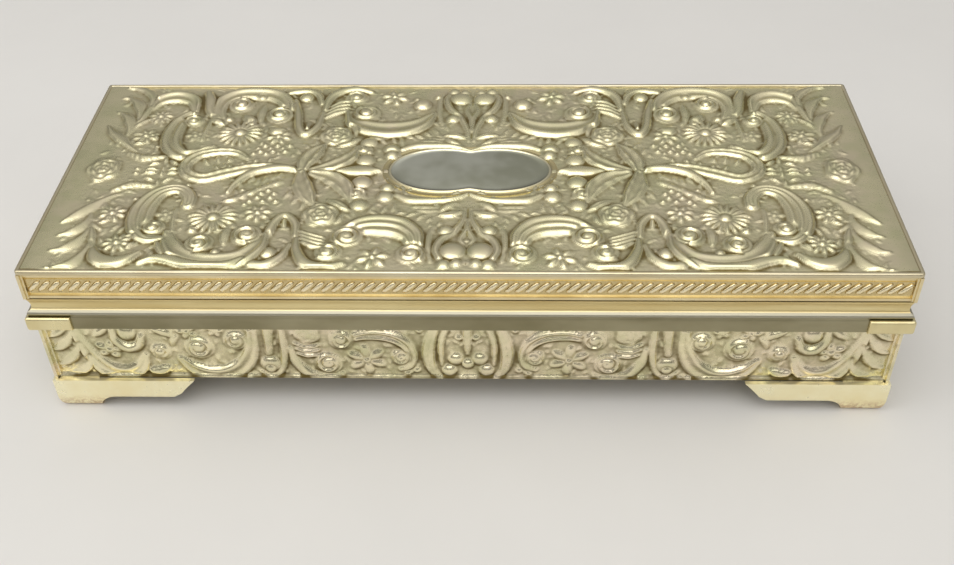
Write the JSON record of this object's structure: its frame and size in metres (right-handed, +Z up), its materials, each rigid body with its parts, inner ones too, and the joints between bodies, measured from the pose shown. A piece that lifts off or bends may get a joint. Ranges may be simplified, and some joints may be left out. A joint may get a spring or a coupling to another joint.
{
  "type": "vanity trinket box",
  "caption": "Long, low hinged trinket box in stamped, plated metal with scroll relief, a rope-twist lid band, ogee bracket feet and a velvet lining.",
  "frame": {"origin": "on the surface it stands on, under the middle of the box", "axes": "+X along the length to the right seen from the front, +Y to the back where the hinges are, +Z up"},
  "size_m": [0.2834, 0.1154, 0.0621],
  "materials": {
    "antique_gold": "antiqued plate, olive in the recesses",
    "pale_gold": "soft polished plate",
    "rope_gold": "bright plate",
    "satin_grey": "satin, tarnished",
    "silver_plate": "polished, slightly hazy",
    "inner_metal": "dull",
    "steel": "bright",
    "velvet": "short pile velvet"
  },
  "bodies": {
    "case": {"base_pan": "inner_metal", "foot_front_left": "pale_gold", "foot_front_right": "pale_gold", "foot_back_left": "pale_gold", "foot_back_right": "pale_gold", "foot_screws": "inner_metal", "wall_front": "antique_gold", "wall_back": "antique_gold", "wall_left": "antique_gold", "wall_right": "antique_gold", "rim_front": "satin_grey", "rim_back": "satin_grey", "rim_left": "satin_grey", "rim_right": "satin_grey", "corner_caps": "pale_gold", "hinge_case_leaves": "pale_gold", "hinge_pins": "steel", "lining_front": "velvet", "lining_back": "velvet", "lining_left": "velvet", "lining_right": "velvet", "floor_pad": "velvet"},
    "lid": {"skirt_front": "pale_gold", "skirt_back": "pale_gold", "skirt_left": "pale_gold", "skirt_right": "pale_gold", "rope_front": "rope_gold", "rope_back": "rope_gold", "rope_left": "rope_gold", "rope_right": "rope_gold", "lid_panel": "antique_gold", "cartouche": "silver_plate", "hinge_lid_leaves": "pale_gold", "lid_pad": "velvet"}
  },
  "joints": [
    {"name": "lid_hinge", "type": "hinge", "parent": "case", "child": "lid", "pos_m": [0, 0.056, 0.04905], "axis": [-1, 0, 0], "range_deg": [0, 100]}
  ]
}
